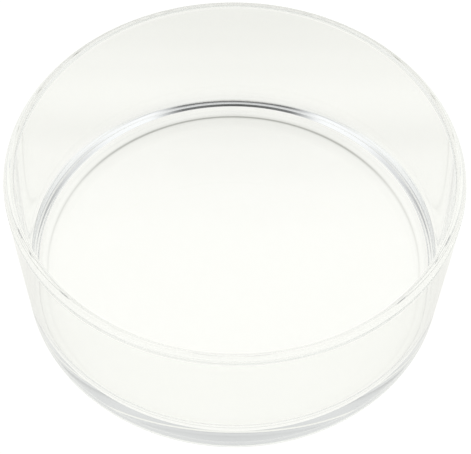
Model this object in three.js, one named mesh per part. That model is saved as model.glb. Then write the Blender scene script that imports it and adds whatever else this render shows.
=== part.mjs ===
// Crystallizing dish: a low, nearly straight-sided laboratory dish, made in one piece of borosilicate glass.
// Millimetres, +Z up. The origin is the centre of the ring the dish stands on, and +Z is the axis of the dish.
import * as THREE from 'three';

// Outside of the dish
const RIM_RADIUS = 75;
const BASE_RADIUS = 73.4;
const HEIGHT = 57.7;
const HEEL_ROUNDING = 1.9;

// Underside: the middle is raised a little inside a flat ring, on which the dish stands.
const FOOT_INNER_RADIUS = 68.8;
const FOOT_STEP_WIDTH = 3.6;
const FOOT_STEP_HEIGHT = 0.3;

// Thickness of the glass: the wall thins a little from the fire-polished rim down to the corner.
const RIM_THICKNESS = 3.6;
const RIM_ROUNDING = 1.75;
const WALL_THICKNESS_BASE = 3.1;
const FLOOR_THICKNESS = 6.1;

// Inside corner
const COVE_ROUNDING = 9.7;

// Fineness of the facets
const SEGMENTS_AROUND = 96;
const STEPS_PER_ARC = 6;

const GLASS_COLOUR = 0xe9eee6;

// Points of the arc that rounds off a corner of the section, from one neighbour towards the next.
function roundedCorner(before, corner, after, radius) {
  const toBefore = before.clone().sub(corner).normalize();
  const toAfter = after.clone().sub(corner).normalize();
  const halfAngle = toBefore.angleTo(toAfter) / 2;
  const inward = toBefore.clone().add(toAfter).normalize();
  const centre = inward.multiplyScalar(radius / Math.sin(halfAngle)).add(corner);
  const start = toBefore.clone().multiplyScalar(radius / Math.tan(halfAngle)).add(corner);
  const sweep = (Math.PI - 2 * halfAngle) * -Math.sign(toBefore.cross(toAfter));
  const points = [];
  for (let step = 0; step <= STEPS_PER_ARC; step += 1) {
    const angle = (sweep * step) / STEPS_PER_ARC;
    points.push(start.clone().rotateAround(centre, angle));
  }
  return points;
}

// Half section of the glass, as radius and height, from the middle of the underside round to the floor.
function glassSection() {
  const corners = [
    { r: 0, z: FOOT_STEP_HEIGHT },
    { r: FOOT_INNER_RADIUS - FOOT_STEP_WIDTH, z: FOOT_STEP_HEIGHT },
    { r: FOOT_INNER_RADIUS, z: 0 },
    { r: BASE_RADIUS, z: 0, rounding: HEEL_ROUNDING },
    { r: RIM_RADIUS, z: HEIGHT, rounding: RIM_ROUNDING },
    { r: RIM_RADIUS - RIM_THICKNESS, z: HEIGHT, rounding: RIM_ROUNDING },
    { r: BASE_RADIUS - WALL_THICKNESS_BASE, z: FLOOR_THICKNESS, rounding: COVE_ROUNDING },
    { r: 0, z: FLOOR_THICKNESS },
  ];
  const places = corners.map(({ r, z }) => new THREE.Vector2(r, z));
  return corners.flatMap(({ rounding }, i) => {
    if (!rounding) return [places[i]];
    return roundedCorner(places[i - 1], places[i], places[i + 1], rounding);
  });
}

// The whole dish, turned about its axis.
function glassDish() {
  const geometry = new THREE.LatheGeometry(glassSection(), SEGMENTS_AROUND);
  geometry.rotateX(Math.PI / 2);
  const material = new THREE.MeshStandardMaterial({
    color: GLASS_COLOUR,
    roughness: 0.03,
    metalness: 0,
    transparent: true,
    opacity: 0.35,
  });
  const mesh = new THREE.Mesh(geometry, material);
  mesh.name = 'glass_dish';
  return mesh;
}

const group = new THREE.Group();
group.add(glassDish());

export default group;
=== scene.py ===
"""Crystallizing dish: clear borosilicate glass on a lit white table, seen from in front and above.

Metres, +Z up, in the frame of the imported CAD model. The origin is the centre of the ring the dish
stands on.
"""
import math

import bmesh
import bpy
from mathutils import Matrix, Vector


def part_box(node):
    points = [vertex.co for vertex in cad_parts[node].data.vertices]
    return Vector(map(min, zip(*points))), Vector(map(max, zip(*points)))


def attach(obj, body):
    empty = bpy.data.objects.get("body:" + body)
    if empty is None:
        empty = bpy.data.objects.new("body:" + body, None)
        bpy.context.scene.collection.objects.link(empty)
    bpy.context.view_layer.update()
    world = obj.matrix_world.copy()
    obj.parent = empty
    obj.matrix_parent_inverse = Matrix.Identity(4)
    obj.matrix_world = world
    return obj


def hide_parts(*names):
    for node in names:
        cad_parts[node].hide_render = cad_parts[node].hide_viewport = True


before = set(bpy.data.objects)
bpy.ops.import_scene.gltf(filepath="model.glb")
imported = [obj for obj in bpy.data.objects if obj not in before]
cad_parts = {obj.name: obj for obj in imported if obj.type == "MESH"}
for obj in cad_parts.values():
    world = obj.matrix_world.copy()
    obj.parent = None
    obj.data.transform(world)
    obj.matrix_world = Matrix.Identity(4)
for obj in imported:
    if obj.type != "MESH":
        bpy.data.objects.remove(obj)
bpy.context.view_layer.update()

MM = 0.001
_, DISH_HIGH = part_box("glass_dish")
RIM_RADIUS = DISH_HIGH.x
HEIGHT = DISH_HIGH.z

# Section of the glass
BASE_RADIUS = 73.33 * MM
HEEL_ROUNDING = 1.75 * MM
FOOT_INNER_RADIUS = 68.93 * MM
FOOT_STEP_WIDTH = 2.47 * MM
FOOT_STEP_HEIGHT = 0.23 * MM
FOOT_STEP_ROUNDINGS = (0.71 * MM, 2.29 * MM)
RIM_THICKNESS = 3.53 * MM
RIM_ROUNDINGS = (1.91 * MM, 1.33 * MM)
WALL_THICKNESS_BASE = 3.03 * MM
FLOOR_THICKNESS = 6.07 * MM
COVE_ROUNDING = 9.51 * MM

# Fineness of the mesh
SEGMENTS_AROUND = 512
STEPS_PER_ARC = 24
RING_SPACING = 6 * MM

# Camera: a lens shifted down, looking at the middle of the rim
LENS_MM = 95.30
SENSOR_MM = 36.0
CAMERA_DISTANCE = 5.399 * RIM_RADIUS
CAMERA_PITCH = math.radians(50.78)
CAMERA_ROLL = math.radians(0.93)
CAMERA_SHIFT = (0.0006, -0.1417)
CLIP_START = 10 * MM

# Glass: borosilicate, with two faint surface tints mixed in clouds, and an even tint in its depth
GLASS_IOR = 1.473
GLASS_TINTS = ((0.992, 0.994, 0.988, 1.0), (0.978, 0.984, 0.972, 1.0))
GLASS_DEPTH_TINT = (0.6, 0.75, 0.1, 1.0)
GLASS_DEPTH_DENSITY = 0.1
GLASS_CLOUD_SIZE = 14 * MM
GLASS_ROUGHNESS = 0.002
GLASS_WAVE_SIZE = 22 * MM
GLASS_WAVE_HEIGHT = 0.01 * MM

# Light goes round inside the wall of the dish many times, by total reflection
LIGHT_BOUNCES = 128

# Table: plain white where the camera sees it straight, while the glass shows it with painted shades: a
# painted shadow behind the dish, a painted contact shadow in a ring under the foot and painted shade
# just outside the foot.
# Each shade is a curve of (place, dimming). SHADE_DEPTH and the FROM_FRONT curves run from front to back
# over
# SHADE_LENGTH. The contact shadow ring and WALL_SHADE run from the dish's middle outwards, as shares of
# the rim's radius.
TABLE_HALF = 12.0
TABLE_TOP = -0.05 * MM
TABLE_GLOW = (1.0, 1.0, 0.985)
TABLE_STRENGTH = 0.99
TABLE_PAPER = (0.1, 0.1, 0.098, 1.0)
PAPER_FIBRE_SIZE = 0.4 * MM
PAPER_FIBRE_SHADE = 0.006
SHADE_FRONT = -1.0 * RIM_RADIUS
SHADE_LENGTH = 3.0 * RIM_RADIUS
# Painted soft shadow of the dish on the table: none at the front, growing towards the back
SHADE_DEPTH = ((0.0, 0.0), (0.37, 0.0), (0.45, 0.018), (0.54, 0.052), (0.62, 0.108),
               (0.7, 0.088), (0.78, 0.128), (0.85, 0.168), (0.89, 0.183))
SHADE_TINT = (0.0, 0.0, 0.021)
# Painted contact shadow: a narrow dark ring on the table under the foot, darkest at 0.9065 of the rim's
# radius and strongest at the back
CONTACT_SHADOW_RING = ((0.8, 0.0), (0.883, 0.05), (0.898, 0.14), (0.9065, 0.62), (0.917, 0.1),
                (0.935, 0.0))
CONTACT_SHADOW_FROM_FRONT = ((0.0, 0.12), (0.3, 0.2), (0.45, 0.4), (0.6, 1.0))
# Painted shade on the table from just inside the foot's edge outwards, strongest at the front; through
# the glass it greys the lower walls
WALL_SHADE = ((0.93, 0.0), (1.0, 0.17))
WALL_SHADE_FROM_FRONT = ((0.0, 1.0), (0.25, 1.0), (0.45, 0.35), (0.58, 0.25), (0.68, 0.0))

# Room: curves of (angle, brightness), and of (angle, dimming) for the shades. Angles go round from the
# front to the back, as shares of 180 degrees, and up from the table, as shares of 90 degrees.
STUDIO_TINT = (0.965, 0.98, 1.0)
ROUND = ((0.0, 0.82), (0.17, 0.93), (0.28, 1.03), (0.36, 1.0), (0.5, 0.76), (0.65, 0.64),
         (0.83, 0.76), (1.0, 0.7))
UPWARD = ((0.0, 1.0), (0.6, 1.0), (0.78, 0.9), (1.0, 0.5))
CAMERA_SHADE = ((0.0, 0.93), (0.14, 0.85), (0.25, 0.0))
CAMERA_SHADE_UP = ((0.19, 0.0), (0.3, 1.0), (0.42, 1.0), (0.5, 0.0))
SIDE_SHADE = ((0.5, 0.0), (0.62, 0.62), (0.7, 0.62), (0.82, 0.0))
SIDE_SHADE_UP = ((0.0, 1.0), (0.2, 1.0), (0.45, 0.0))


def rounded_corner(before, corner, after, radius):
    """Points, with their outward normals, of the arc that rounds off a corner of the section."""
    to_before = (before - corner).normalized()
    to_after = (after - corner).normalized()
    half_angle = to_before.angle(to_after) / 2
    centre = corner + (to_before + to_after).normalized() * (radius / math.sin(half_angle))
    arm = corner + to_before * (radius / math.tan(half_angle)) - centre
    turn = math.copysign(math.pi - 2 * half_angle, to_after.cross(to_before))
    points = []
    for step in range(STEPS_PER_ARC + 1):
        turned = Matrix.Rotation(turn * step / STEPS_PER_ARC, 2) @ arm
        normal = turned.normalized() * math.copysign(1, turn)
        points.append((centre + turned, normal))
    return points


def straight_run(start, end):
    """Points, with their outward normals, along a straight stretch of the section, less its last."""
    along = end - start
    steps = max(1, math.ceil(along.length / RING_SPACING))
    normal = Vector((along.y, -along.x)).normalized()
    return [(start + along * step / steps, normal) for step in range(steps)]


def glass_section():
    """The half section as (point, normal) pairs, from the middle of the underside round to the floor."""
    corners = [
        (0, FOOT_STEP_HEIGHT, 0),
        (FOOT_INNER_RADIUS - FOOT_STEP_WIDTH, FOOT_STEP_HEIGHT, FOOT_STEP_ROUNDINGS[0]),
        (FOOT_INNER_RADIUS, 0, FOOT_STEP_ROUNDINGS[1]),
        (BASE_RADIUS, 0, HEEL_ROUNDING),
        (RIM_RADIUS, HEIGHT, RIM_ROUNDINGS[0]),
        (RIM_RADIUS - RIM_THICKNESS, HEIGHT, RIM_ROUNDINGS[1]),
        (BASE_RADIUS - WALL_THICKNESS_BASE, FLOOR_THICKNESS, COVE_ROUNDING),
        (0, FLOOR_THICKNESS, 0),
    ]
    places = [Vector(corner[:2]) for corner in corners]
    arcs = [
        rounded_corner(places[i - 1], places[i], places[i + 1], corners[i][2])
        for i in range(1, len(corners) - 1)
    ]
    section = []
    reached = places[0]
    for arc in arcs:
        section += straight_run(reached, arc[0][0]) + arc
        reached = section.pop()[0]
    section += straight_run(reached, places[-1])
    section.append((places[-1], Vector((0, 1))))
    return section


def lathe(name, section):
    """A closed body of revolution, with the exact normals of its section."""
    bm = bmesh.new()
    rings = []
    normals = []
    for point, normal in section:
        if point.x == 0:
            rings.append([bm.verts.new((0, 0, point.y))])
            normals.append(Vector((0, 0, normal.y)))
            continue
        ring = []
        for k in range(SEGMENTS_AROUND):
            angle = 2 * math.pi * k / SEGMENTS_AROUND
            c, s = math.cos(angle), math.sin(angle)
            ring.append(bm.verts.new((point.x * c, point.x * s, point.y)))
            normals.append(Vector((normal.x * c, normal.x * s, normal.y)))
        rings.append(ring)
    for low, high in zip(rings, rings[1:]):
        for k in range(SEGMENTS_AROUND):
            n = (k + 1) % SEGMENTS_AROUND
            if len(low) == 1:
                bm.faces.new((low[0], high[n], high[k]))
            elif len(high) == 1:
                bm.faces.new((low[k], low[n], high[0]))
            else:
                bm.faces.new((low[k], low[n], high[n], high[k]))
    mesh = bpy.data.meshes.new(name)
    bm.to_mesh(mesh)
    bm.free()
    mesh.shade_smooth()
    mesh.normals_split_custom_set_from_vertices(normals)
    piece = bpy.data.objects.new(name, mesh)
    bpy.context.scene.collection.objects.link(piece)
    return piece


def camera():
    """The camera in front of the dish and above it."""
    data = bpy.data.cameras.new("camera")
    data.sensor_width = SENSOR_MM
    data.lens = LENS_MM
    data.shift_x, data.shift_y = CAMERA_SHIFT
    data.clip_start = CLIP_START
    piece = bpy.data.objects.new("camera", data)
    bpy.context.scene.collection.objects.link(piece)
    back = Vector((0, -math.cos(CAMERA_PITCH), math.sin(CAMERA_PITCH)))
    piece.location = Vector((0, 0, HEIGHT)) + back * CAMERA_DISTANCE
    roll = Matrix.Rotation(CAMERA_ROLL, 3, "Z")
    piece.rotation_euler = (back.to_track_quat("Z", "Y").to_matrix() @ roll).to_euler()
    bpy.context.scene.camera = piece


def curve(tree, source, stops):
    """A smooth curve of one value, given as (place, height) stops with heights up to 2."""
    node = tree.nodes.new("ShaderNodeValToRGB")
    node.color_ramp.interpolation = "EASE"
    elements = node.color_ramp.elements
    while len(elements) < len(stops):
        elements.new(0.5)
    for element, (place, height) in zip(elements, stops):
        element.position = place
        element.color = (height / 2, height / 2, height / 2, 1)
    tree.links.new(source, node.inputs["Fac"])
    return maths(tree, "MULTIPLY", node.outputs["Color"], 2)


def maths(tree, operation, *terms):
    """One step of arithmetic on sockets and numbers."""
    node = tree.nodes.new("ShaderNodeMath")
    node.operation = operation
    for socket, term in zip(node.inputs, terms):
        if isinstance(term, (int, float)):
            socket.default_value = term
        else:
            tree.links.new(term, socket)
    return node.outputs[0]


def crossed(tree, first, first_stops, second, second_stops):
    """The product of two curves, each of its own value."""
    return maths(tree, "MULTIPLY", curve(tree, first, first_stops), curve(tree, second, second_stops))


def parts_of(tree, vector):
    """The three parts of a vector."""
    node = tree.nodes.new("ShaderNodeSeparateXYZ")
    tree.links.new(vector, node.inputs[0])
    return node.outputs


def tinted(tree, brightness, tint):
    """A colour: the tint times the brightness."""
    node = tree.nodes.new("ShaderNodeVectorMath")
    node.operation = "SCALE"
    node.inputs[0].default_value = tint
    tree.links.new(brightness, node.inputs["Scale"])
    return node.outputs[0]


def noise(tree, place, size, detail=2):
    """Cloudy noise with patches of about the given size, from 0 to 1."""
    node = tree.nodes.new("ShaderNodeTexNoise")
    node.inputs["Scale"].default_value = 1 / size
    node.inputs["Detail"].default_value = detail
    tree.links.new(place, node.inputs["Vector"])
    return node.outputs["Fac"]


def painted_shade_and_fibres(tree, place):
    """How much of the table's glow is lost where the glass shows it, for each colour: painted shadow
    behind the dish, a painted contact shadow under the foot, painted shade outside the foot, and faint
    paper fibres.
    """
    x, y, _ = parts_of(tree, place)
    square = maths(tree, "ADD", maths(tree, "POWER", x, 2), maths(tree, "POWER", y, 2))
    outward = maths(tree, "DIVIDE", maths(tree, "SQRT", square), RIM_RADIUS)
    backward = maths(tree, "DIVIDE", maths(tree, "SUBTRACT", y, SHADE_FRONT), SHADE_LENGTH)
    depth = curve(tree, backward, SHADE_DEPTH)
    contact = crossed(tree, outward, CONTACT_SHADOW_RING, backward, CONTACT_SHADOW_FROM_FRONT)
    wall = crossed(tree, outward, WALL_SHADE, backward, WALL_SHADE_FROM_FRONT)
    fibres = maths(tree, "MULTIPLY", noise(tree, place, PAPER_FIBRE_SIZE, 3), PAPER_FIBRE_SHADE)
    shade_and_fibres = maths(tree, "ADD", maths(tree, "ADD", depth, contact), maths(tree, "ADD", wall, fibres))
    # The painted shade and the fibres are left out where the camera sees the table straight, so they
    # show only through the glass
    direct = tree.nodes.new("ShaderNodeLightPath").outputs["Is Camera Ray"]
    in_glass = maths(tree, "SUBTRACT", 1, direct)
    return [maths(tree, "MULTIPLY", maths(tree, "ADD", shade_and_fibres, share), in_glass) for share in SHADE_TINT]


def glass_material():
    """Clear glass: faintly wavy, hardly tinted, and with a little less polish in cloudy patches."""
    material = bpy.data.materials.new("clear_glass")
    material.use_nodes = True
    tree = material.node_tree
    shader = tree.nodes["Principled BSDF"]
    place = tree.nodes.new("ShaderNodeTexCoord").outputs["Object"]
    clouds = noise(tree, place, GLASS_CLOUD_SIZE)
    tint = tree.nodes.new("ShaderNodeMix")
    tint.data_type = "RGBA"
    tint.inputs["A"].default_value = GLASS_TINTS[0]
    tint.inputs["B"].default_value = GLASS_TINTS[1]
    tree.links.new(clouds, tint.inputs["Factor"])
    tree.links.new(tint.outputs["Result"], shader.inputs["Base Color"])
    roughness = maths(tree, "MULTIPLY", clouds, GLASS_ROUGHNESS)
    tree.links.new(roughness, shader.inputs["Roughness"])
    bump = tree.nodes.new("ShaderNodeBump")
    bump.inputs["Distance"].default_value = GLASS_WAVE_HEIGHT
    tree.links.new(noise(tree, place, GLASS_WAVE_SIZE, 1), bump.inputs["Height"])
    tree.links.new(bump.outputs["Normal"], shader.inputs["Normal"])
    shader.inputs["Transmission Weight"].default_value = 1
    shader.inputs["IOR"].default_value = GLASS_IOR
    absorb = tree.nodes.new("ShaderNodeVolumeAbsorption")
    absorb.inputs["Color"].default_value = GLASS_DEPTH_TINT
    absorb.inputs["Density"].default_value = GLASS_DEPTH_DENSITY
    tree.links.new(absorb.outputs["Volume"], tree.nodes["Material Output"].inputs["Volume"])
    return material


def lit_table():
    """A white table that glows softly, with painted shade in its glow that shows only through the glass,
    and also takes a little of the room's light.
    """
    corners = [(TABLE_HALF * x, TABLE_HALF * y, 0) for x, y in ((-1, -1), (1, -1), (1, 1), (-1, 1))]
    mesh = bpy.data.meshes.new("table")
    mesh.from_pydata(corners, [], [(0, 1, 2, 3)])
    piece = bpy.data.objects.new("table", mesh)
    piece.location.z = TABLE_TOP
    bpy.context.scene.collection.objects.link(piece)
    material = bpy.data.materials.new("lit_table")
    material.use_nodes = True
    tree = material.node_tree
    place = tree.nodes.new("ShaderNodeTexCoord").outputs["Object"]
    glow = tree.nodes.new("ShaderNodeCombineXYZ")
    for socket, full, lost in zip(glow.inputs, TABLE_GLOW, painted_shade_and_fibres(tree, place)):
        tree.links.new(maths(tree, "SUBTRACT", full, lost), socket)
    shader = tree.nodes["Principled BSDF"]
    shader.inputs["Base Color"].default_value = TABLE_PAPER
    shader.inputs["Roughness"].default_value = 1
    shader.inputs["Specular IOR Level"].default_value = 0
    tree.links.new(glow.outputs[0], shader.inputs["Emission Color"])
    shader.inputs["Emission Strength"].default_value = TABLE_STRENGTH
    mesh.materials.append(material)


def studio():
    """Pale light from all round: brightest at the front's two sides, with a shade straight in front."""
    world = bpy.data.worlds.new("studio")
    bpy.context.scene.world = world
    world.use_nodes = True
    tree = world.node_tree
    x, y, z = parts_of(tree, tree.nodes.new("ShaderNodeTexCoord").outputs["Generated"])
    up = maths(tree, "DIVIDE", maths(tree, "ARCSINE", z), math.pi / 2)
    turned = maths(tree, "ARCTAN2", x, maths(tree, "MULTIPLY", y, -1))
    aside = maths(tree, "DIVIDE", maths(tree, "ABSOLUTE", turned), math.pi)
    brightness = crossed(tree, aside, ROUND, up, UPWARD)
    for level, height in ((CAMERA_SHADE, CAMERA_SHADE_UP), (SIDE_SHADE, SIDE_SHADE_UP)):
        shade = crossed(tree, aside, level, up, height)
        brightness = maths(tree, "MULTIPLY", brightness, maths(tree, "SUBTRACT", 1, shade))
    tree.links.new(tinted(tree, brightness, STUDIO_TINT), tree.nodes["Background"].inputs["Color"])


camera()
lit_table()
studio()
dish = lathe("dish", glass_section())
dish.data.materials.append(glass_material())
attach(dish, "root")
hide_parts("glass_dish")

bpy.context.scene.view_settings.view_transform = "Standard"
bpy.context.scene.cycles.max_bounces = LIGHT_BOUNCES
bpy.context.scene.cycles.transmission_bounces = LIGHT_BOUNCES
bpy.context.scene.cycles.glossy_bounces = LIGHT_BOUNCES
